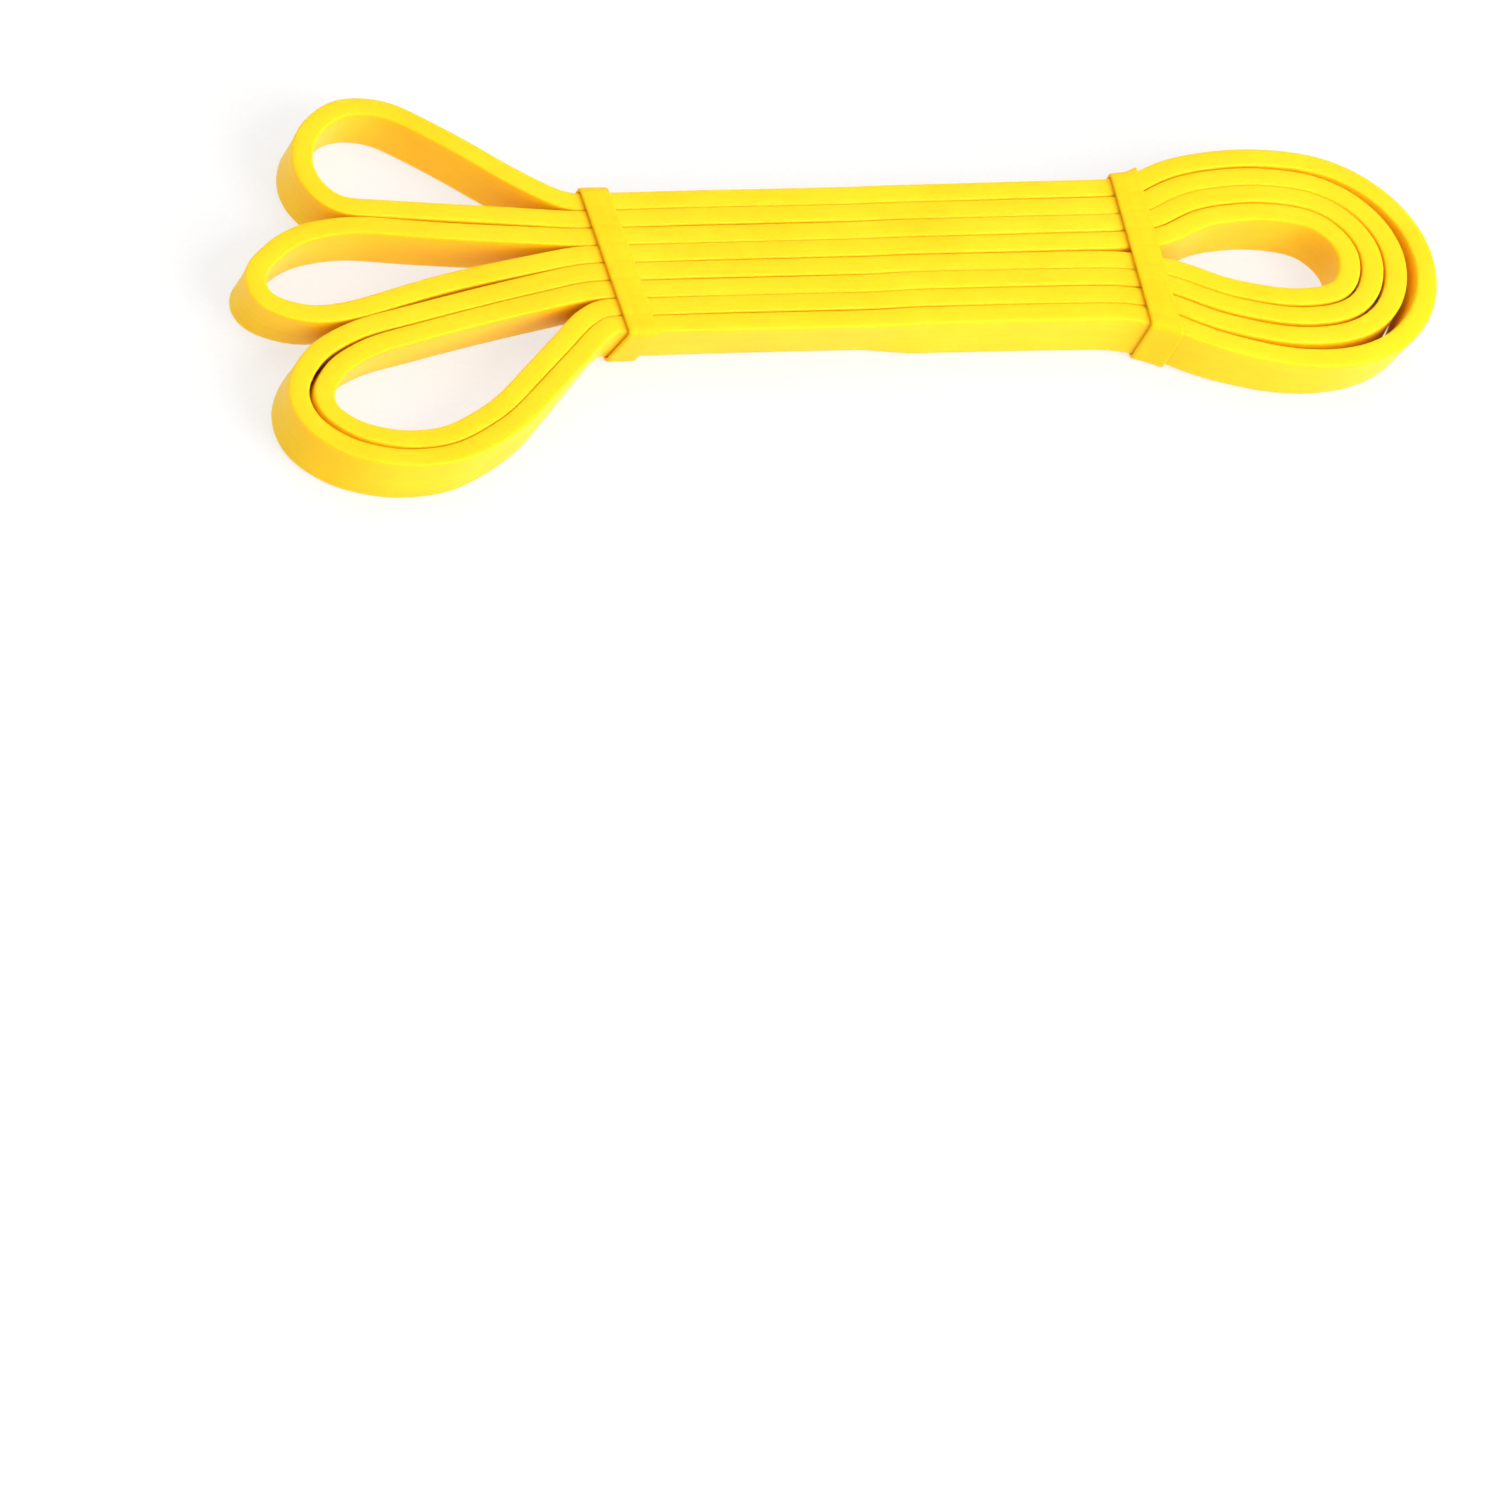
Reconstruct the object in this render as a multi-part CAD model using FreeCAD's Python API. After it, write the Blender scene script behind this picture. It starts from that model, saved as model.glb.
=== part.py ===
import FreeCAD, Part
import math
import os

from FreeCAD import Vector

# An endless latex resistance band, put up for storage. It is folded to eight runs that
# stand on edge side by side, and two elastic ties hold the runs together.
#
# X runs along the bundle, from the fan of loops (-X) to the nested fold (+X). Y goes
# across the eight runs and Z is up. While the shapes are made, X = 0 is the outer edge of
# the fan tie and Y = 0 is the middle of the stack. The finished part stands on Z = 0,
# centred over the origin.
#
# Along its length the band goes: run 1, fold, run 8, near loop, run 5, fold, run 4,
# middle loop, run 3, fold, run 6, near loop, run 7, fold, run 2, far loop, run 1.

os.makedirs("parts", exist_ok=True)

# Driving dimensions, in mm.
BAND_LENGTH = 2080.0      # once round the endless band, along its middle
BAND_WIDTH = 13.0
BAND_THICKNESS = 4.5
RUNS = 8
LAYER_GAP = 0.05          # air between neighbouring runs
TIE_WIDTH = 6.2
TIE_THICKNESS = 0.9
TIE_CLEARANCE = 0.1       # between a tie and the band that it wraps
CUT_GAP = 0.2             # between the bundle and a loop that bends away from it
FOLD_TIE_OFFSET = 34.6    # from the start of the fold to its tie

# Sizes that follow from them.
PITCH = BAND_THICKNESS + LAYER_GAP
BAND_BOTTOM = TIE_THICKNESS + TIE_CLEARANCE
LEAD = 5.0                # from the fan tie to the first corner of a loop's leg
NEAR_LEAD = 3.2           # the same for the near loop's near leg, which turns off sooner

# Corners of each fan loop's centreline, from its far leg round to its near leg.
FAR_LOOP = [(-14.5, 22.5), (-27, 33.5), (-38.5, 42), (-48.5, 42.6), (-57, 35.5),
            (-59.4, 25.8), (-54.5, 17.2)]
MIDDLE_LOOP = [(-30, 9.2), (-52, 12.2), (-65.5, 9.5), (-75.4, 0.5), (-75, -6.7),
               (-66, -11), (-56.5, -10), (-34.5, -3.3)]
NEAR_LOOP = [(-29.5, -7.7), (-56.5, -14.6), (-67, -20.6), (-73, -30), (-72, -38.6),
             (-65, -45.6), (-54, -49), (-41.5, -48), (-28, -40.6), (-11, -23.6)]

# Corners of the innermost fold's centreline, measured from the start of the fold.
INNER_FOLD = [(35, 2.45), (43.5, 3.2), (52, 8), (65.5, 9.8), (77.5, 7.4), (83.2, -1.5),
              (79.6, -11.8), (67.5, -13.4), (53.5, -10.2), (44, -5.2), (32, -2.4)]

# Extra air between nested layers, one value for each side of the centreline: the layers
# lie tight on the straight stretches and part round the tip.
NEAR_LOOP_AIR = [0, 0, 0, 0.8, 1.5, 2.0, 2.0, 1.5, 0.8, 0.3, 0, 0, 0]
FOLD_AIR = [0, 0, 0, 0.05, 0.15, 0.3, 0.45, 0.35, 0.15, 0, 0, 0]

CORNER_SHARE = 0.45       # part of the shorter side that a corner's arc uses up


def lane(run):
    """Y of a run's middle; run 1 is the far side of the stack and run 8 the near side."""
    return ((RUNS + 1) / 2 - run) * PITCH


def turn_at(before, corner, after):
    """Signed turn of a route at a corner, in radians; a turn to the left is positive."""
    arriving = math.atan2(corner[1] - before[1], corner[0] - before[0])
    leaving = math.atan2(after[1] - corner[1], after[0] - corner[0])
    return math.remainder(leaving - arriving, math.tau)


def corner_radii(route):
    """Radius of the arc at each inner corner of a route, as large as its sides allow."""
    radii = []
    for before, corner, after in zip(route, route[1:], route[2:]):
        shorter = min(math.dist(before, corner), math.dist(corner, after))
        turn = abs(turn_at(before, corner, after))
        radii.append(CORNER_SHARE * shorter / math.tan(turn / 2))
    return radii


def shifted_line(start, end, distance):
    """A point on a side moved to its left by a distance, and the side's direction."""
    length = math.dist(start, end)
    direction = ((end[0] - start[0]) / length, (end[1] - start[1]) / length)
    point = (start[0] - direction[1] * distance, start[1] + direction[0] * distance)
    return point, direction


def crossing(first, second):
    """Where two lines meet, each given as a point and a direction."""
    (x1, y1), (u1, v1) = first
    (x2, y2), (u2, v2) = second
    along = ((x2 - x1) * v2 - (y2 - y1) * u2) / (u1 * v2 - v1 * u2)
    return (x1 + u1 * along, y1 + v1 * along)


def offset_route(route, distances):
    """The route with each of its sides moved to the left by its own distance."""
    sides = [shifted_line(start, end, distance)
             for start, end, distance in zip(route, route[1:], distances)]
    first_point = sides[0][0]
    last_point, _ = shifted_line(route[-1], route[-2], -distances[-1])
    corners = [crossing(one, two) for one, two in zip(sides, sides[1:])]
    return [first_point] + corners + [last_point]


def rounded_edges(route, radii):
    """Straight edges and tangent arcs that follow a route with rounded corners."""
    edges = []
    reached = route[0]
    for before, corner, after, radius in zip(route, route[1:], route[2:], radii):
        turn = turn_at(before, corner, after)
        heading = math.atan2(corner[1] - before[1], corner[0] - before[0])
        cut = radius * math.tan(abs(turn) / 2)
        start = (corner[0] - cut * math.cos(heading), corner[1] - cut * math.sin(heading))
        end = (corner[0] + cut * math.cos(heading + turn),
               corner[1] + cut * math.sin(heading + turn))
        inward = heading + turn / 2 + math.copysign(math.pi / 2, turn)
        depth = radius / math.cos(turn / 2) - radius
        middle = (corner[0] + depth * math.cos(inward), corner[1] + depth * math.sin(inward))
        edges.append(Part.LineSegment(Vector(*reached), Vector(*start)).toShape())
        edges.append(Part.Arc(Vector(*start), Vector(*middle), Vector(*end)).toShape())
        reached = end
    edges.append(Part.LineSegment(Vector(*reached), Vector(*route[-1])).toShape())
    return edges


def route_length(route):
    """Length of a route's rounded centreline."""
    return sum(edge.Length for edge in rounded_edges(route, corner_radii(route)))


def band_side(route, side):
    """Edges of one face of the band, half a thickness to the left (+1) or right (-1)."""
    distance = side * BAND_THICKNESS / 2
    radii = []
    for before, corner, after, radius in zip(route, route[1:], route[2:], corner_radii(route)):
        turn = turn_at(before, corner, after)
        radii.append(radius - math.copysign(distance, distance * turn))
    return rounded_edges(offset_route(route, [distance] * (len(route) - 1)), radii)


def band_stretch(route):
    """The solid of one stretch of band along a centreline, with square ends."""
    left = band_side(route, 1)
    right = band_side(route, -1)
    start_cap = Part.LineSegment(left[0].Vertexes[0].Point, right[0].Vertexes[0].Point)
    end_cap = Part.LineSegment(left[-1].Vertexes[-1].Point, right[-1].Vertexes[-1].Point)
    outline = Part.Wire(Part.__sortEdges__(left + right + [start_cap.toShape(), end_cap.toShape()]))
    solid = Part.Face(outline).extrude(Vector(0, 0, BAND_WIDTH))
    solid.translate(Vector(0, 0, BAND_BOTTOM))
    return solid


def fan_route(corners, far_run, near_run, near_lead=LEAD):
    """Centreline of a fan loop, from the end of one run to the end of another."""
    return ([(-CUT_GAP, lane(far_run)), (-LEAD, lane(far_run))] + corners
            + [(-near_lead, lane(near_run)), (-CUT_GAP, lane(near_run))])


def nested_route(route, air, layers):
    """A route laid a number of layers to the left of another, with air between them."""
    return offset_route(route, [layers * (PITCH + extra) for extra in air])


def fold_route(fold_start, layers_out):
    """Centreline of a fold, outside the innermost one by a number of layers."""
    bend = [(fold_start, lane(4))]
    bend += [(fold_start + x, y) for x, y in INNER_FOLD]
    bend += [(fold_start, lane(5))]
    return nested_route(bend, FOLD_AIR, layers_out)


def fold_strand(fold_start, layers_out):
    """Two runs of the bundle and the fold that joins them, as one stretch of band."""
    far_end = (0, lane(4 - layers_out))
    near_end = (0, lane(5 + layers_out))
    return band_stretch([far_end] + fold_route(fold_start, layers_out) + [near_end])


def tie(x_start, wrapped):
    """An elastic tie: a flat strap drawn round everything that it wraps."""
    slab = Part.makeBox(TIE_WIDTH, 200, 200, Vector(x_start, -100, -100))
    inside = Part.makeCompound(wrapped).common(slab).BoundBox
    low_y = inside.YMin - TIE_CLEARANCE
    low_z = inside.ZMin - TIE_CLEARANCE
    size_y = inside.YLength + 2 * TIE_CLEARANCE
    size_z = inside.ZLength + 2 * TIE_CLEARANCE
    hole = Part.makeBox(TIE_WIDTH, size_y, size_z, Vector(x_start, low_y, low_z))
    outside = Part.makeBox(TIE_WIDTH, size_y + 2 * TIE_THICKNESS, size_z + 2 * TIE_THICKNESS,
                           Vector(x_start, low_y - TIE_THICKNESS, low_z - TIE_THICKNESS))
    lengthways = [edge for edge in outside.Edges if edge.BoundBox.XLength > TIE_WIDTH / 2]
    return outside.makeFillet(TIE_THICKNESS, lengthways).cut(hole)


def fan_loop_routes():
    """Centrelines of the four fan loops, by node name."""
    near_outer = fan_route(NEAR_LOOP, 5, 8, NEAR_LEAD)
    return {
        "far_fan_loop": fan_route(FAR_LOOP, 1, 2),
        "middle_fan_loop": fan_route(MIDDLE_LOOP, 3, 4),
        "near_fan_loop_outer": near_outer,
        "near_fan_loop_inner": nested_route(near_outer, NEAR_LOOP_AIR, 1),
    }


def find_fold_start(fan_routes, folds):
    """X where the fold starts, so that the whole band comes out at its real length."""
    fan_length = sum(route_length(route) + 2 * CUT_GAP for route in fan_routes)
    fold_length = sum(route_length(fold_route(0, layers_out)) for layers_out in range(folds))
    return (BAND_LENGTH - fan_length - fold_length) / RUNS


def build():
    """Every node's shape, by node name, standing on Z = 0 and centred over the origin."""
    fan_routes = fan_loop_routes()
    fold_nodes = ["fold_strand_inner", "fold_strand_third", "fold_strand_second",
                  "fold_strand_outer"]
    fold_start = find_fold_start(fan_routes.values(), len(fold_nodes))

    shapes = {name: band_stretch(route) for name, route in fan_routes.items()}
    for layers_out, name in enumerate(fold_nodes):
        shapes[name] = fold_strand(fold_start, layers_out)

    runs = [shapes[name] for name in fold_nodes]
    shapes["fan_tie"] = tie(0, runs)
    shapes["fold_tie"] = tie(fold_start + FOLD_TIE_OFFSET, runs)

    whole = Part.makeCompound(list(shapes.values())).BoundBox
    to_origin = Vector(-whole.Center.x, -whole.Center.y, -whole.ZMin)
    for shape in shapes.values():
        shape.translate(to_origin)
    print("fold starts at", round(fold_start, 3), "and the model moves by", to_origin)
    return shapes


for node, shape in build().items():
    shape.exportStep("parts/" + node + ".step")
    print(node, "valid" if shape.isValid() else "NOT VALID", round(shape.Volume, 1), "mm3")
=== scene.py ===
"""An endless latex resistance band, folded to eight runs and held by two elastic ties."""

import math

import bpy
import numpy as np
from mathutils import Matrix, Vector


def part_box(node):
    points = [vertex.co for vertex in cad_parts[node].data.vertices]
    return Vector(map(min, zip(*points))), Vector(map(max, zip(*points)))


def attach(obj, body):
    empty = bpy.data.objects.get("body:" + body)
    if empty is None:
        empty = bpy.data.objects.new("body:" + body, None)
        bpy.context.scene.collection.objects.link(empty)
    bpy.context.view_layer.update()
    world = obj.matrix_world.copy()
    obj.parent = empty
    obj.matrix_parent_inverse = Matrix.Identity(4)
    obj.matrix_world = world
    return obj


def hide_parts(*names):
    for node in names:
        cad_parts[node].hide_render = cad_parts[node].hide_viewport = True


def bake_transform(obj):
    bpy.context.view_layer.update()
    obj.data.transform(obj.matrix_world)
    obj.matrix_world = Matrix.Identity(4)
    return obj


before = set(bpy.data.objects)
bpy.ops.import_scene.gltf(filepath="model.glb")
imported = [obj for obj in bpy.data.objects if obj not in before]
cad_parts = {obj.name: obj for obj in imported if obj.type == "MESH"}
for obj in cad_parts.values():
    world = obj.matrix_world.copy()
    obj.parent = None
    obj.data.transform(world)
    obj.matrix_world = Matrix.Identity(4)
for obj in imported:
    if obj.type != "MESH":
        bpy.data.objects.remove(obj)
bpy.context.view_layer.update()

MM = 0.001

# The band's section and the stack that its runs make, in mm.
BAND_WIDTH = 13.0
BAND_THICKNESS = 4.5
PITCH = 4.55                 # from one run's middle to the next one's
RUNS = 8
EDGE_ROUNDING = 0.52         # radius along the band's four long edges

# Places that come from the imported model, in metres.
FAN_TIE_LOW, FAN_TIE_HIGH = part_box("fan_tie")
FOLD_TIE_LOW, FOLD_TIE_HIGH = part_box("fold_tie")
PLAN_ORIGIN = Vector((FAN_TIE_LOW.x, (FAN_TIE_LOW.y + FAN_TIE_HIGH.y) / 2, 0))

# The same sizes in mm, from the fan tie's outer edge and the middle of the stack.
TIE_WIDTH = (FAN_TIE_HIGH.x - FAN_TIE_LOW.x) / MM
FOLD_TIE_X = (FOLD_TIE_LOW.x - FAN_TIE_LOW.x) / MM
FOLD_TIE_OFFSET = 34.6       # from the start of the fold to its tie
FOLD_START = FOLD_TIE_X - FOLD_TIE_OFFSET
TIE_THICKNESS = 0.9
TIE_AIR = 0.25               # between a tie and the runs, so that it slides without cutting in
BAND_BOTTOM = (FAN_TIE_HIGH.z - FAN_TIE_LOW.z) / MM / 2 - BAND_WIDTH / 2
SPLIT_X = TIE_WIDTH / 2      # the band's pieces meet here, under the fan tie

# Corners of the fan loops' centrelines, from the far leg round to the near leg, in mm.
LEAD = 5.0                   # from the fan tie to the first corner of a loop's leg
NEAR_LEAD = 3.2              # the same for the near loop's near leg, which turns off sooner
FAR_LOOP = [(-14.5, 22.5), (-27, 33.5), (-38.5, 42), (-48.5, 42.6), (-57, 35.5),
            (-59.4, 25.8), (-54.5, 17.2)]
MIDDLE_LOOP = [(-30, 9.2), (-52, 12.2), (-65.5, 9.5), (-75.4, 0.5), (-75, -6.7),
               (-66, -11), (-56.5, -10), (-34.5, -3.3)]
NEAR_LOOP = [(-29.5, -7.7), (-56.5, -14.6), (-67, -20.6), (-73, -30), (-72, -38.6),
             (-65, -45.6), (-54, -49), (-41.5, -48), (-28, -40.6), (-11, -23.6)]

# Corners of the innermost fold's centreline, from the start of the fold, in mm.
INNER_FOLD = [(35, 2.45), (43.5, 3.2), (52, 8), (65.5, 9.8), (77.5, 7.4), (83.2, -1.5),
              (79.6, -11.8), (67.5, -13.4), (53.5, -10.2), (44, -5.2), (32, -2.4)]

CORNER_SHARE = 0.45          # part of the shorter side that a corner's curve uses up
STEP = 1.0                   # between the band's cross-sections, in mm
SMOOTHING = 3.0              # the centreline's curvature is evened out over this length
STRAIGHT_END = 1.5           # exactly straight at a stretch's ends, so that they meet cleanly
STRAIGHT_EASE = 6.0          # the straight ends ease into the curve over this length
GLOW_FADE = 10.0             # the glow fades out over this length at a stretch's ends

# How the band rests on its ties and on the floor, in mm.
FAN_DROOP = 50.0             # the fan comes down to the floor over this length
FOLD_DROOP = 40.0            # and the fold over this one, past its tie
WAVE_HEIGHT = 0.20           # unevenness of the runs between the ties
TIP_LIFT = 0.12              # how far the fan's tips lie off the floor

# How far the band leans: Y over Z, with the places in mm.
BUNDLE_LEAN = 0.15           # from between the ties to the fold
FAN_LEAN = 0.22              # from between the ties to the fan
GAP_LEAN = (0.08, -12.0, 12.0)     # more between the middle and near loops: lean, Y, spread
OUTER_LEAN = (0.09, -22.0, 18.0)   # less at the near loop's outer leg: lean, Y, ease
LEAN_PIVOT = 11.0            # height that stays in place
LEAN_CHANGE = (53.0, 67.0)   # X between the two ties' travels, where the lean changes

# The band also wavers a little from its lean, by degrees over a length in mm.
WAVER = 0.8
WAVER_LENGTH = 31.0
WAVER_EASE = 20.0            # it starts and ends at nothing over this length

# A tie's strap, in mm.
TIE_DIP = 0.10               # how far it sinks between the runs
TIE_CROWN = 0.06             # how far its middle stands above its edges
TIE_CORNER = 1.15            # radius of its path round the stack's corners

# Where nested layers part at a loop's tip: the widest air between them, in mm, the place of
# it and how far it spreads, both as shares of the stretch's length.
NEAR_AIR = (0.5, 0.48, 0.15)
FOLD_AIR = ((0.45, 0.545, 0.085), (0.55, 0.545, 0.085), (1.15, 0.535, 0.085))

# There the top edge also leans away from the neighbouring layer, by this many degrees.
TIP_LEANS = {"band_fold_outer": (9.5, 0.535, 0.085), "band_near_inner": (4.0, 0.48, 0.15)}
UPRIGHT = (0.0, 0.5, 0.1)    # no lean there


def lane(run):
    """Y of a run's middle; run 1 is the far side of the stack and run 8 the near side."""
    return ((RUNS + 1) / 2 - run) * PITCH


def smoothstep(value):
    """0 below 0, 1 above 1, and a soft ramp between them."""
    value = np.clip(value, 0, 1)
    return value * value * (3 - 2 * value)


def rounded(corners):
    """A polyline with each inner corner replaced by a short parabola."""
    corners = [np.array(corner, float) for corner in corners]
    points = [corners[0]]
    for before, corner, after in zip(corners, corners[1:], corners[2:]):
        back = before - corner
        ahead = after - corner
        cut = CORNER_SHARE * min(np.linalg.norm(back), np.linalg.norm(ahead))
        start = corner + back / np.linalg.norm(back) * cut
        end = corner + ahead / np.linalg.norm(ahead) * cut
        for t in np.linspace(0, 1, 13):
            points.append((1 - t) ** 2 * start + 2 * t * (1 - t) * corner + t ** 2 * end)
    points.append(corners[-1])
    return np.array(points)


def arc_lengths(points):
    """Distance along a polyline at each of its points."""
    steps = np.linalg.norm(np.diff(points, axis=0), axis=1)
    return np.concatenate([[0], np.cumsum(steps)])


def resampled(points, step=STEP):
    """The same polyline with its points evenly spaced."""
    along = arc_lengths(points)
    places = np.linspace(0, along[-1], int(round(along[-1] / step)) + 1)
    return np.stack([np.interp(places, along, column) for column in points.T], axis=1)


def averaged(points, sigma):
    """Each point becomes a bell-weighted mean of its neighbours; the ends stay put."""
    reach = int(3 * sigma)
    before = 2 * points[0] - points[reach:0:-1]
    after = 2 * points[-1] - points[-2:-reach - 2:-1]
    padded = np.concatenate([before, points, after])
    weights = np.exp(-0.5 * (np.arange(-reach, reach + 1) / sigma) ** 2)
    weights /= weights.sum()
    return np.stack([np.convolve(column, weights, "valid") for column in padded.T], axis=1)


def smoothed(points):
    """Even curvature without the shrinkage that plain averaging gives."""
    sigma = SMOOTHING / STEP
    once = averaged(points, sigma)
    return 2 * once - averaged(once, sigma)


def left_normals(points):
    """Unit vectors to the left of a plan curve's direction."""
    direction = np.gradient(points, axis=0)
    direction /= np.linalg.norm(direction, axis=1)[:, None]
    return np.stack([-direction[:, 1], direction[:, 0]], axis=1)


def curvatures(points):
    """Signed curvature of a plan curve, in 1/mm; a left turn is positive."""
    first = np.gradient(points, axis=0)
    second = np.gradient(first, axis=0)
    cross = first[:, 0] * second[:, 1] - first[:, 1] * second[:, 0]
    return cross / np.linalg.norm(first, axis=1) ** 3


def shifted(points, distances):
    """A plan curve moved to its left by a distance that may vary along it."""
    moved = points + left_normals(points) * distances[:, None]
    return resampled(moved)


def bump(count, height, centre, spread):
    """A soft hill over a curve's points; centre and spread are shares of its length."""
    share = np.linspace(0, 1, count)
    return height * np.exp(-((share - centre) / spread) ** 2)


def straight_ended(points, far_run, near_run):
    """The curve with its ends laid exactly along their runs."""
    first_half = np.arange(len(points)) < len(points) / 2
    run_y = np.where(first_half, lane(far_run), lane(near_run))
    from_end = np.abs(points[:, 0] - SPLIT_X)
    share = smoothstep((from_end - STRAIGHT_END) / STRAIGHT_EASE)
    return np.stack([points[:, 0], run_y + (points[:, 1] - run_y) * share], axis=1)


def centreline(corners, far_run, near_run, leads):
    """Smooth centreline of a stretch that starts on one run and comes back on another."""
    far_lead, near_lead = leads
    route = [(SPLIT_X, lane(far_run)), far_lead] + corners
    route += [near_lead, (SPLIT_X, lane(near_run))]
    return straight_ended(smoothed(resampled(rounded(route))), far_run, near_run)


def fan_centreline(corners, far_run, near_run, near_lead=LEAD):
    """Centreline of a fan loop, with its straight leads out of the tie."""
    leads = ((-LEAD, lane(far_run)), (-near_lead, lane(near_run)))
    return centreline(corners, far_run, near_run, leads)


def near_inner_centreline(outer):
    """The near loop's inner layer: tight against the outer one, with air round the tip."""
    return shifted(outer, PITCH + bump(len(outer), *NEAR_AIR))


def fold_centreline(layers_out):
    """Centreline of a fold, outside the innermost one by a number of layers."""
    corners = [(FOLD_START + x, y) for x, y in INNER_FOLD]
    line = centreline(corners, 4, 5, ((FOLD_START, lane(4)), (FOLD_START, lane(5))))
    if layers_out == 0:
        return line
    air = sum(bump(len(line), *gap) for gap in FOLD_AIR[:layers_out])
    return shifted(line, layers_out * PITCH + air)


def band_section():
    """Outline of the band's section: (across the thickness, up the width) pairs in mm."""
    half_t = BAND_THICKNESS / 2
    half_w = BAND_WIDTH / 2
    radius = EDGE_ROUNDING
    crown = 0.10
    outline = []
    for corner, (side_t, side_w) in enumerate(((1, -1), (1, 1), (-1, 1), (-1, -1))):
        for angle in np.radians(np.linspace(-90, 0, 5) + 90 * corner):
            outline.append((side_t * (half_t - radius) + radius * math.cos(angle),
                            side_w * (half_w - radius) + radius * math.sin(angle)))
        if corner % 2 == 0:
            for w in np.linspace(-1, 1, 9)[1:-1] * (half_w - radius) * side_t:
                outline.append((side_t * half_t, w))
        else:
            for t in np.linspace(-1, 1, 5)[1:-1] * (half_t - radius):
                lift = crown * (1 - (t / half_t) ** 2)
                outline.append((-t * side_w, side_w * (half_w + lift)))
    return np.array(outline)


def swept_mesh(name, rings, closed):
    """A mesh through rings of points, given as an array of rings by points by 3, in mm.

    The ends of an open sweep have no caps. A stretch's ends lie against its neighbours', and
    caps there would show as a line across the band.
    """
    count, around, _ = rings.shape
    vertices = rings.reshape(-1, 3) * MM + np.array(PLAN_ORIGIN)
    faces = []
    for ring in range(count if closed else count - 1):
        here = ring * around
        there = (ring + 1) % count * around
        for k in range(around):
            following = (k + 1) % around
            faces.append((here + k, here + following, there + following, there + k))
    mesh = bpy.data.meshes.new(name)
    mesh.from_pydata([tuple(vertex) for vertex in vertices], [], faces)
    mesh.polygons.foreach_set("use_smooth", [True] * len(faces))
    mesh.update()
    piece = bpy.data.objects.new(name, mesh)
    bpy.context.scene.collection.objects.link(piece)
    return piece


def store(piece, attribute, values):
    """Keeps one number per vertex, for the material to read."""
    layer = piece.data.attributes.new(attribute, "FLOAT", "POINT")
    layer.data.foreach_set("value", np.ascontiguousarray(values, np.float32).ravel())


def resting_height(points, unevenness_phase):
    """Height of the band's lower edge: held up in the ties, down on the floor at the ends."""
    x = points[:, 0]
    fan_droop = smoothstep((-x - 2) / FAN_DROOP)
    fold_end = FOLD_TIE_X + TIE_WIDTH
    fold_droop = smoothstep((x - fold_end) / FOLD_DROOP)
    height = BAND_BOTTOM * (1 - np.maximum(fan_droop, fold_droop))
    between_ties = smoothstep((x - 8) / 14) * smoothstep((FOLD_TIE_X - 6 - x) / 14)
    wave = 0.5 + 0.5 * np.sin(x / 17 + unevenness_phase) * np.cos(x / 41 + 2 * unevenness_phase)
    at_tip = smoothstep((-x - 30) / 40)
    return height + WAVE_HEIGHT * wave * between_ties + TIP_LIFT * at_tip


def leaned(rings):
    """Tips the tops towards the near side, so that the faces seen from there look lower."""
    x = rings[:, :, 0]
    y = rings[:, :, 1]
    z = rings[:, :, 2]
    more, gap_y, spread = GAP_LEAN
    less, outer_y, ease = OUTER_LEAN
    fan_slope = FAN_LEAN + more * np.exp(-((y - gap_y) / spread) ** 2)
    fan_slope -= less * smoothstep((outer_y - y) / ease)
    fan_end, fold_end = LEAN_CHANGE
    share_of_fan = smoothstep((fold_end - x) / (fold_end - fan_end))
    slope = BUNDLE_LEAN + (fan_slope - BUNDLE_LEAN) * share_of_fan
    rings[:, :, 1] = y - slope * (z - LEAN_PIVOT)
    return rings


def band_piece(name, points, phase, start_along, backwards, tip_lean):
    """One stretch of the band, as a ribbon on edge along a plan curve.

    The curve may run backwards along the band. The stored coordinates still run forwards, so
    that the surface carries on from one stretch to the next.
    """
    section = band_section()
    normals = left_normals(points)
    curving = curvatures(points)
    low = resting_height(points, phase)
    along = arc_lengths(points)
    lean = np.radians(WAVER) * np.sin(along / WAVER_LENGTH + phase)
    lean *= smoothstep(along / WAVER_EASE)
    lean *= smoothstep((along[-1] - along) / WAVER_EASE)
    lean -= np.radians(bump(len(points), *tip_lean))

    across = section[:, 0][None, :]
    up = section[:, 1][None, :]
    poisson = 0.10           # how much the section bows where the band bends
    flare = -poisson * curving[:, None] * (up ** 2 - BAND_WIDTH ** 2 / 12) / 2
    sideways = across + flare
    tilted_side = sideways * np.cos(lean)[:, None] - up * np.sin(lean)[:, None]
    tilted_up = sideways * np.sin(lean)[:, None] + up * np.cos(lean)[:, None]

    rings = np.empty((len(points), len(section), 3))
    rings[:, :, 0] = points[:, 0:1] + normals[:, 0:1] * tilted_side
    rings[:, :, 1] = points[:, 1:2] + normals[:, 1:2] * tilted_side
    rings[:, :, 2] = low[:, None] + BAND_WIDTH / 2 + tilted_up
    rings[:, :, 2] -= np.minimum(rings[:, :, 2].min(axis=1), 0)[:, None]

    piece = swept_mesh(name, leaned(rings), closed=False)
    forward = along[-1] - along if backwards else along
    side = -1 if backwards else 1
    from_end = np.minimum(along, along[-1] - along)
    store(piece, "along", np.repeat(start_along + forward, len(section)) * MM)
    store(piece, "across", np.tile(side * section[:, 0], len(points)) * MM)
    store(piece, "glow", np.repeat(smoothstep(from_end / GLOW_FADE), len(section)))
    store(piece, "up", np.tile(section[:, 1], len(points)) * MM)
    return piece


def stack_sides():
    """The outer faces of the stack as plan curves: its far side, then its near side."""
    outermost = fold_centreline(3)
    face = outermost + left_normals(outermost) * BAND_THICKNESS / 2
    tip = int(np.argmax(face[:, 0]))
    return face[:tip], face[:tip:-1]


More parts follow.
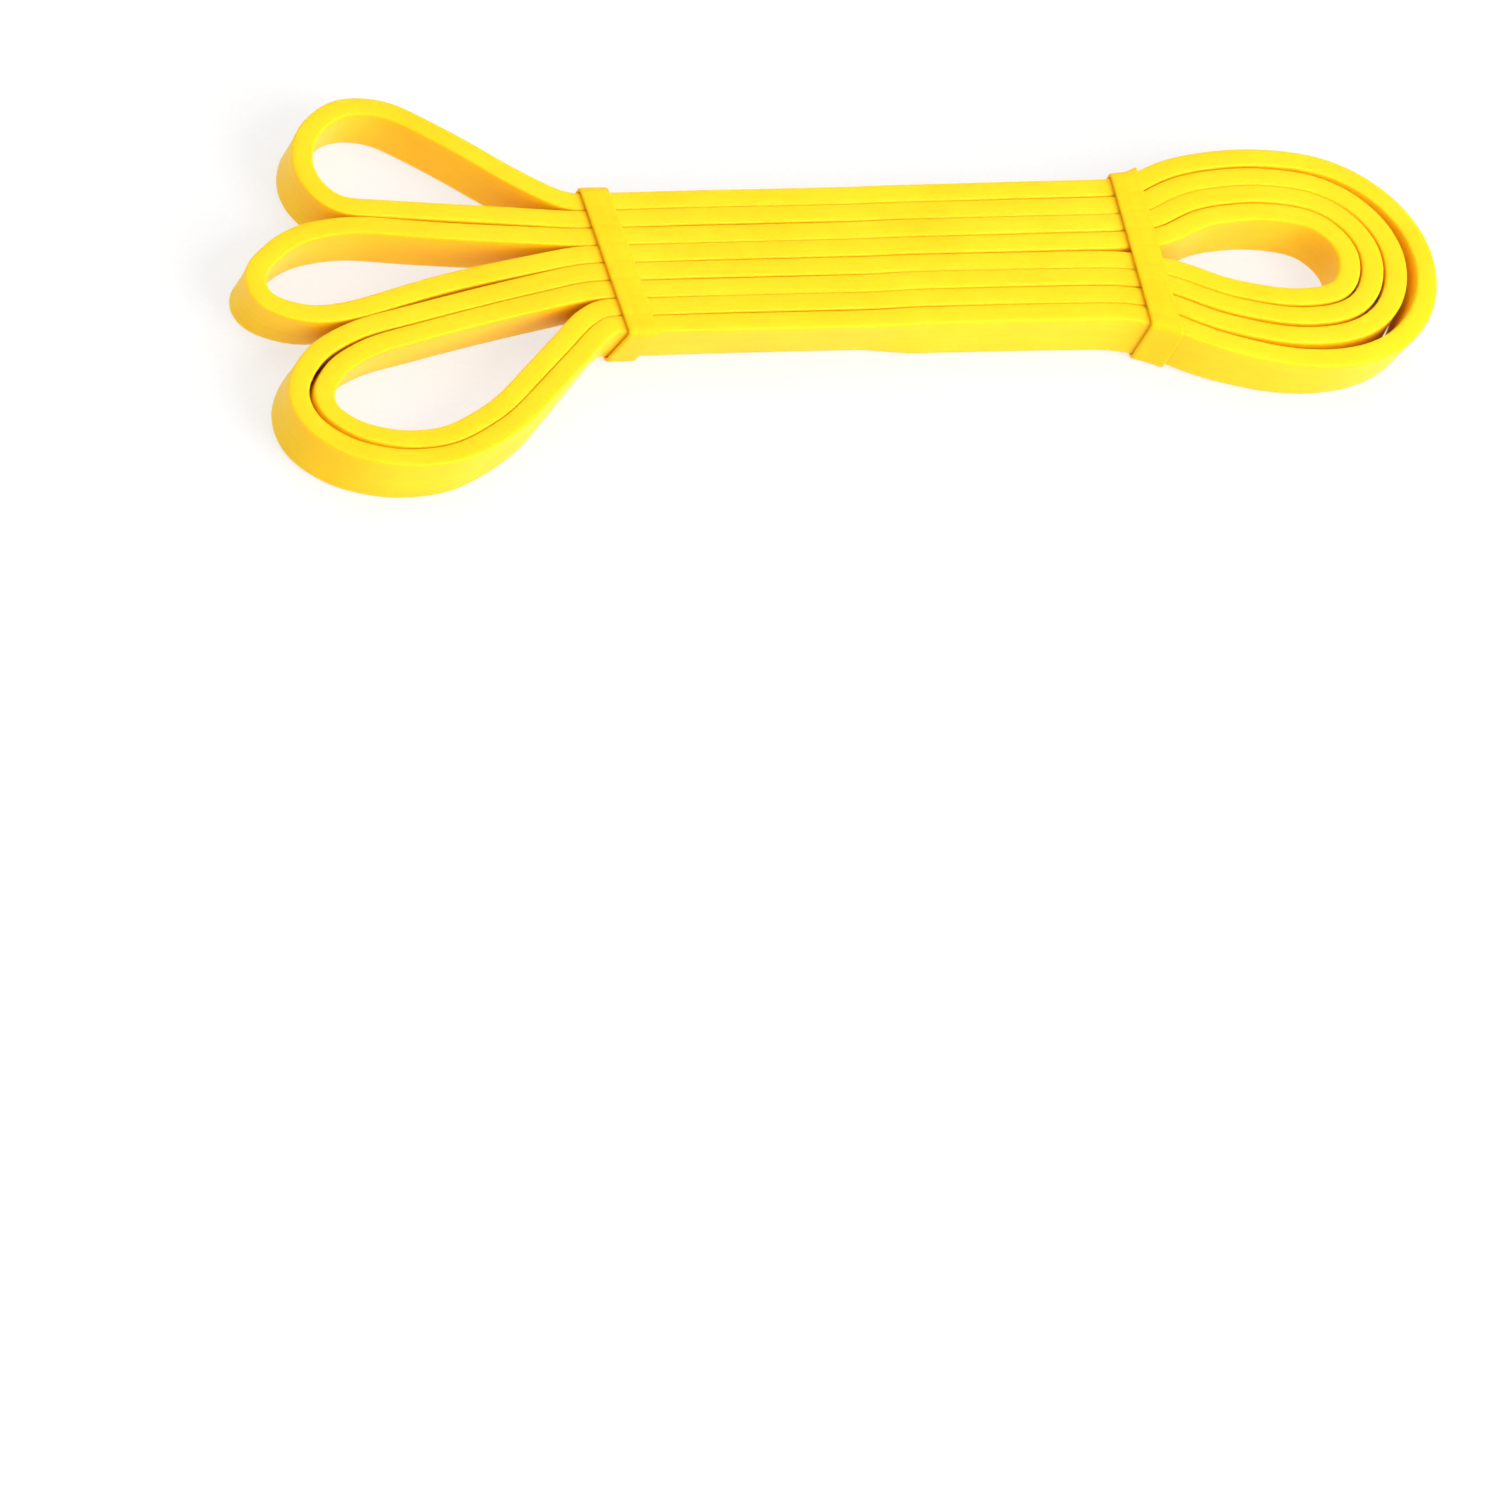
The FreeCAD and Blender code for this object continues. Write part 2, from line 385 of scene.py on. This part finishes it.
def strap_section():
    """Outline of a tie's section: (along the bundle, away from the band) pairs in mm."""
    half_width = TIE_WIDTH / 2
    half_thickness = TIE_THICKNESS / 2
    edge = 0.36
    section = []
    for side_x, side_out, start in ((1, -1, -90), (1, 1, 0), (-1, 1, 90), (-1, -1, 180)):
        for angle in np.radians(np.linspace(start, start + 90, 5)):
            section.append((side_x * (half_width - edge) + edge * math.cos(angle),
                            side_out * (half_thickness - edge) + edge * math.sin(angle)))
        if side_x == side_out:
            for x in np.linspace(-1, 1, 9)[1:-1] * (half_width - edge) * -side_out:
                section.append((x, side_out * half_thickness))
    return np.array(section)


def tie_path(low_y, high_y, low_z, high_z):
    """The closed path of a tie's middle round the stack, in mm: Y and Z, from the far top."""
    radius = TIE_CORNER
    corners = ((high_y, high_z, 0), (low_y, high_z, 90), (low_y, low_z, 180), (high_y, low_z, 270))
    path = []
    for y, z, start in corners:
        centre_y = y - math.copysign(radius, y - (low_y + high_y) / 2)
        centre_z = z - math.copysign(radius, z - (low_z + high_z) / 2)
        for angle in np.radians(np.linspace(start, start + 90, 9)):
            path.append((centre_y + radius * math.cos(angle), centre_z + radius * math.sin(angle)))
    return resampled(np.array(path + path[:1]), 0.45)[:-1]


def tie_piece(name, x_start, height, slant):
    """An elastic tie: a thin strap stretched round the stack, dipping between the runs.

    The slant says how far the strap lies off square, in mm along the bundle: at its far
    side, at the top of its near side and at the foot of its near side.
    """
    far_side, near_side = stack_sides()
    middle_x = x_start + TIE_WIDTH / 2
    half_thickness = TIE_THICKNESS / 2
    off_the_band = half_thickness + TIE_AIR
    high_y = np.interp(middle_x, far_side[:, 0], far_side[:, 1]) + off_the_band
    low_y = np.interp(middle_x, near_side[:, 0], near_side[:, 1]) - off_the_band
    path = tie_path(low_y, high_y, half_thickness, height - TIE_THICKNESS + off_the_band)
    forward = np.roll(path, -1, axis=0) - np.roll(path, 1, axis=0)
    forward /= np.linalg.norm(forward, axis=1)[:, None]
    outward = np.stack([forward[:, 1], -forward[:, 0]], axis=1)

    section = strap_section()
    far_share = (path[:, 0] - low_y) / (high_y - low_y)
    top_share = path[:, 1] / height
    far_slant, near_top_slant, near_foot_slant = slant
    near_slant = near_foot_slant + (near_top_slant - near_foot_slant) * top_share
    shift = near_slant + (far_slant - near_slant) * far_share
    x = middle_x + shift[:, None] + section[:, 0][None, :]

    on_top = smoothstep((path[:, 1] - height + 0.75) / 0.4)
    between_runs = np.cos(np.pi * path[:, 0] / PITCH) ** 16
    dip = -TIE_DIP * on_top * between_runs
    crown = TIE_CROWN * (1 - (section[:, 0] / TIE_WIDTH * 2) ** 2)
    push = section[:, 1][None, :] + dip[:, None] + crown[None, :]
    to_far = np.interp(x, far_side[:, 0], far_side[:, 1]) + off_the_band - high_y
    to_near = np.interp(x, near_side[:, 0], near_side[:, 1]) - off_the_band - low_y
    hug = far_share[:, None] * to_far + (1 - far_share)[:, None] * to_near

    rings = np.empty((len(path), len(section), 3))
    rings[:, :, 0] = x
    rings[:, :, 1] = path[:, 0:1] + outward[:, 0:1] * push + hug
    rings[:, :, 2] = np.maximum(path[:, 1:2] + outward[:, 1:2] * push, 0)

    piece = swept_mesh(name, leaned(rings), closed=True)
    along = arc_lengths(np.concatenate([path, path[:1]]))[:-1]
    store(piece, "along", np.repeat(along, len(section)) * MM)
    store(piece, "across", np.tile(section[:, 1], len(path)) * MM)
    store(piece, "up", np.tile(section[:, 0], len(path)) * MM)
    store(piece, "glow", np.ones(len(path) * len(section)))
    return piece


def new_material(name):
    """An empty node material, its node tree and its shader."""
    material = bpy.data.materials.new(name)
    material.use_nodes = True
    tree = material.node_tree
    tree.nodes.clear()
    shader = tree.nodes.new("ShaderNodeBsdfPrincipled")
    output = tree.nodes.new("ShaderNodeOutputMaterial")
    tree.links.new(shader.outputs["BSDF"], output.inputs["Surface"])
    return material, tree, shader


def stored(tree, name):
    """A number that was stored on the piece's vertices."""
    attribute = tree.nodes.new("ShaderNodeAttribute")
    attribute.attribute_name = name
    return attribute.outputs["Fac"]


def band_coordinates(tree):
    """The band's own coordinates as a vector: along, across the thickness, up the width."""
    combine = tree.nodes.new("ShaderNodeCombineXYZ")
    for socket, name in zip(combine.inputs, ("along", "across", "up")):
        tree.links.new(stored(tree, name), socket)
    return combine.outputs["Vector"]


def noise(tree, vector, scales, detail=3.0):
    """Noise over a vector that is first stretched by its own scale along each axis."""
    mapping = tree.nodes.new("ShaderNodeMapping")
    mapping.inputs["Scale"].default_value = scales
    texture = tree.nodes.new("ShaderNodeTexNoise")
    texture.inputs["Scale"].default_value = 1.0
    texture.inputs["Detail"].default_value = detail
    texture.inputs["Roughness"].default_value = 0.55
    tree.links.new(vector, mapping.inputs["Vector"])
    tree.links.new(mapping.outputs["Vector"], texture.inputs["Vector"])
    return texture.outputs["Fac"]


def ramp(tree, factor, stops):
    """A colour ramp between two (position, colour) pairs."""
    node = tree.nodes.new("ShaderNodeValToRGB")
    for element, (position, colour) in zip(node.color_ramp.elements, stops):
        element.position = position
        element.color = (*colour, 1)
    tree.links.new(factor, node.inputs["Fac"])
    return node.outputs["Color"]


def multiplied(tree, factor, first, second):
    """One colour partly multiplied by another."""
    node = tree.nodes.new("ShaderNodeMix")
    node.data_type = "RGBA"
    node.blend_type = "MULTIPLY"
    node.inputs["Factor"].default_value = factor
    tree.links.new(first, node.inputs["A"])
    tree.links.new(second, node.inputs["B"])
    return node.outputs["Result"]


def bumped(tree, height, strength, distance, normal=None):
    """A bump normal from a height, laid over another normal."""
    node = tree.nodes.new("ShaderNodeBump")
    node.inputs["Strength"].default_value = strength
    node.inputs["Distance"].default_value = distance
    tree.links.new(height, node.inputs["Height"])
    if normal is not None:
        tree.links.new(normal, node.inputs["Normal"])
    return node.outputs["Normal"]


def latex_material(name, deep, pale, roughness, rib_strength, glow_depth):
    """Dyed natural latex: glowing colour, faint lamination lines and a fine satin grain."""
    material, tree, shader = new_material(name)
    band = band_coordinates(tree)
    place = tree.nodes.new("ShaderNodeTexCoord").outputs["Object"]

    clouds = noise(tree, place, (60, 60, 60), detail=4.0)
    colour = ramp(tree, clouds, [(0.30, deep), (0.70, pale)])
    layers = noise(tree, band, (26, 2600, 900), detail=2.0)
    streaks = ramp(tree, layers, [(0.35, (0.955, 0.945, 0.86)), (0.6, (1, 1, 1))])
    colour = multiplied(tree, 0.6, colour, streaks)
    tree.links.new(colour, shader.inputs["Base Color"])

    grain = noise(tree, place, (5200, 5200, 5200), detail=2.0)
    swells = noise(tree, place, (420, 420, 420), detail=2.0)
    normal = bumped(tree, swells, 0.25, 0.00012)
    normal = bumped(tree, layers, rib_strength, 0.00008, normal)
    normal = bumped(tree, grain, 0.16, 0.00003, normal)
    tree.links.new(normal, shader.inputs["Normal"])

    rough = tree.nodes.new("ShaderNodeMapRange")
    rough.inputs["To Min"].default_value = roughness - 0.07
    rough.inputs["To Max"].default_value = roughness + 0.09
    tree.links.new(clouds, rough.inputs["Value"])
    tree.links.new(rough.outputs["Result"], shader.inputs["Roughness"])

    weight = tree.nodes.new("ShaderNodeMath")
    weight.operation = "MULTIPLY"
    weight.inputs[1].default_value = 0.75
    tree.links.new(stored(tree, "glow"), weight.inputs[0])
    tree.links.new(weight.outputs["Value"], shader.inputs["Subsurface Weight"])

    shader.inputs["Subsurface Radius"].default_value = (1.0, 0.38, 0.06)
    shader.inputs["Subsurface Scale"].default_value = glow_depth
    shader.inputs["IOR"].default_value = 1.5
    shader.inputs["Specular IOR Level"].default_value = 0.12
    return material


def floor_material():
    """Pale matt studio paper with a faint grain. It gives off some light, to stay white."""
    material, tree, shader = new_material("studio_paper")
    place = tree.nodes.new("ShaderNodeTexCoord").outputs["Object"]
    fibres = noise(tree, place, (900, 900, 900))
    colour = ramp(tree, fibres, [(0.3, (0.24, 0.24, 0.239)), (0.7, (0.26, 0.26, 0.259))])
    tree.links.new(colour, shader.inputs["Base Color"])
    shader.inputs["Roughness"].default_value = 0.9
    shader.inputs["Specular IOR Level"].default_value = 0.1
    shader.inputs["Emission Color"].default_value = (1, 1, 1, 1)
    shader.inputs["Emission Strength"].default_value = 0.68
    return material


def give(piece, material):
    """Makes this the piece's only material."""
    piece.data.materials.clear()
    piece.data.materials.append(material)


def add_floor():
    """A large pale floor under the band."""
    mesh = bpy.data.meshes.new("floor")
    half = 6.0
    corners = [(-half, -half, 0), (half, -half, 0), (half, half, 0), (-half, half, 0)]
    mesh.from_pydata(corners, [], [(0, 1, 2, 3)])
    floor = bpy.data.objects.new("floor", mesh)
    bpy.context.scene.collection.objects.link(floor)
    give(floor, floor_material())


def add_softbox(name, direction, distance, size, power, colour):
    """A square area light that looks at the band's middle from a direction."""
    light = bpy.data.lights.new(name, "AREA")
    light.shape = "SQUARE"
    light.size = size
    light.energy = power
    light.color = colour
    lamp = bpy.data.objects.new(name, light)
    towards = Vector(direction).normalized()
    lamp.location = towards * distance
    lamp.rotation_euler = towards.to_track_quat("Z", "Y").to_euler()
    bpy.context.scene.collection.objects.link(lamp)


def add_lights():
    """A soft key light from the near right, a weaker one from above and a white surround."""
    add_softbox("key", (0.65, -0.95, 0.85), 1.5, 1.1, 25.0, (1.0, 0.99, 0.97))
    add_softbox("top", (0.1, 0.3, 1.0), 1.6, 1.5, 5.5, (1.0, 1.0, 1.0))
    world = bpy.data.worlds.new("studio")
    world.use_nodes = True
    background = world.node_tree.nodes["Background"]
    background.inputs["Color"].default_value = (1.0, 1.0, 1.0, 1)
    background.inputs["Strength"].default_value = 0.80
    bpy.context.scene.world = world


# The camera's direction and framing. It looks down on the band from the fan's near side.
VIEW_AZIMUTH = math.radians(-29.2)
VIEW_ELEVATION = math.radians(49.4)
VIEW_ROLL = math.radians(21.3)
VIEW_WIDTH = 0.3081          # of the picture, at the band
VIEW_RIGHT = 0.0329          # the picture's middle, from the plan origin
VIEW_UP = -0.0920
VIEW_DEPTH = -0.0085
LENS = 800.0
SENSOR = 36.0


def add_camera():
    """A long-lens camera, square to the picture's middle."""
    right = Vector((math.cos(VIEW_AZIMUTH), math.sin(VIEW_AZIMUTH), 0))
    back = Vector((math.sin(VIEW_AZIMUTH) * math.cos(VIEW_ELEVATION),
                   -math.cos(VIEW_AZIMUTH) * math.cos(VIEW_ELEVATION),
                   math.sin(VIEW_ELEVATION)))
    up = back.cross(right)
    rolled_right = right * math.cos(VIEW_ROLL) + up * math.sin(VIEW_ROLL)
    rolled_up = up * math.cos(VIEW_ROLL) - right * math.sin(VIEW_ROLL)
    target = PLAN_ORIGIN + rolled_right * VIEW_RIGHT + rolled_up * VIEW_UP + back * VIEW_DEPTH

    lens = bpy.data.cameras.new("camera")
    lens.lens = LENS
    lens.sensor_width = SENSOR
    lens.clip_start = 0.01
    lens.clip_end = 50
    camera = bpy.data.objects.new("camera", lens)
    camera.matrix_world = Matrix((rolled_right, rolled_up, back)).transposed().to_4x4()
    camera.location = target + back * (VIEW_WIDTH * LENS / SENSOR)
    bpy.context.scene.collection.objects.link(camera)
    bpy.context.scene.camera = camera


def add_band(material):
    """All eight stretches of the band, in their order along it."""
    near_outer = fan_centreline(NEAR_LOOP, 5, 8, NEAR_LEAD)
    near_inner = near_inner_centreline(near_outer)
    middle = fan_centreline(MIDDLE_LOOP, 3, 4)
    far = fan_centreline(FAR_LOOP, 1, 2)
    stretches = [
        ("band_fold_outer", "fold_strand_outer", fold_centreline(3), False, None),
        ("band_near_outer", "near_fan_loop_outer", near_outer, True, "near_loop"),
        ("band_fold_inner", "fold_strand_inner", fold_centreline(0), True, None),
        ("band_middle_loop", "middle_fan_loop", middle, True, None),
        ("band_fold_third", "fold_strand_third", fold_centreline(1), False, None),
        ("band_near_inner", "near_fan_loop_inner", near_inner, False, "near_loop"),
        ("band_fold_second", "fold_strand_second", fold_centreline(2), True, None),
        ("band_far_loop", "far_fan_loop", far, True, "far_loop"),
    ]
    along = 0.0
    for number, (name, node, line, backwards, bending_body) in enumerate(stretches):
        tip_lean = TIP_LEANS.get(name, UPRIGHT)
        piece = band_piece(name, line, 1.7 * number, along, backwards, tip_lean)
        along += arc_lengths(line)[-1]
        give(piece, material)
        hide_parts(node)
        if bending_body is None:
            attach(piece, "bundle")
        else:
            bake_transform(piece)
    print("the band is", round(along), "mm long")


def add_ties(material):
    """Both elastic ties."""
    height = (FAN_TIE_HIGH.z - FAN_TIE_LOW.z) / MM
    for name, x_start, slant in (("fan_tie", 0.0, (-1.9, 0.7, -0.4)),
                                 ("fold_tie", FOLD_TIE_X, (0.0, 0.1, -0.5))):
        piece = tie_piece(name + "_strap", x_start, height, slant)
        give(piece, material)
        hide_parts(name)
        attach(piece, name)


add_camera()
add_floor()
add_lights()
add_band(latex_material("band_latex", deep=(0.95, 0.55, 0.006), pale=(0.98, 0.60, 0.012),
                        roughness=0.42, rib_strength=0.35, glow_depth=0.0030))
add_ties(latex_material("tie_latex", deep=(0.93, 0.53, 0.004), pale=(0.97, 0.57, 0.008),
                        roughness=0.46, rib_strength=0.15, glow_depth=0.0006))

scene = bpy.context.scene
scene.view_settings.view_transform = "Standard"
scene.view_settings.look = "None"
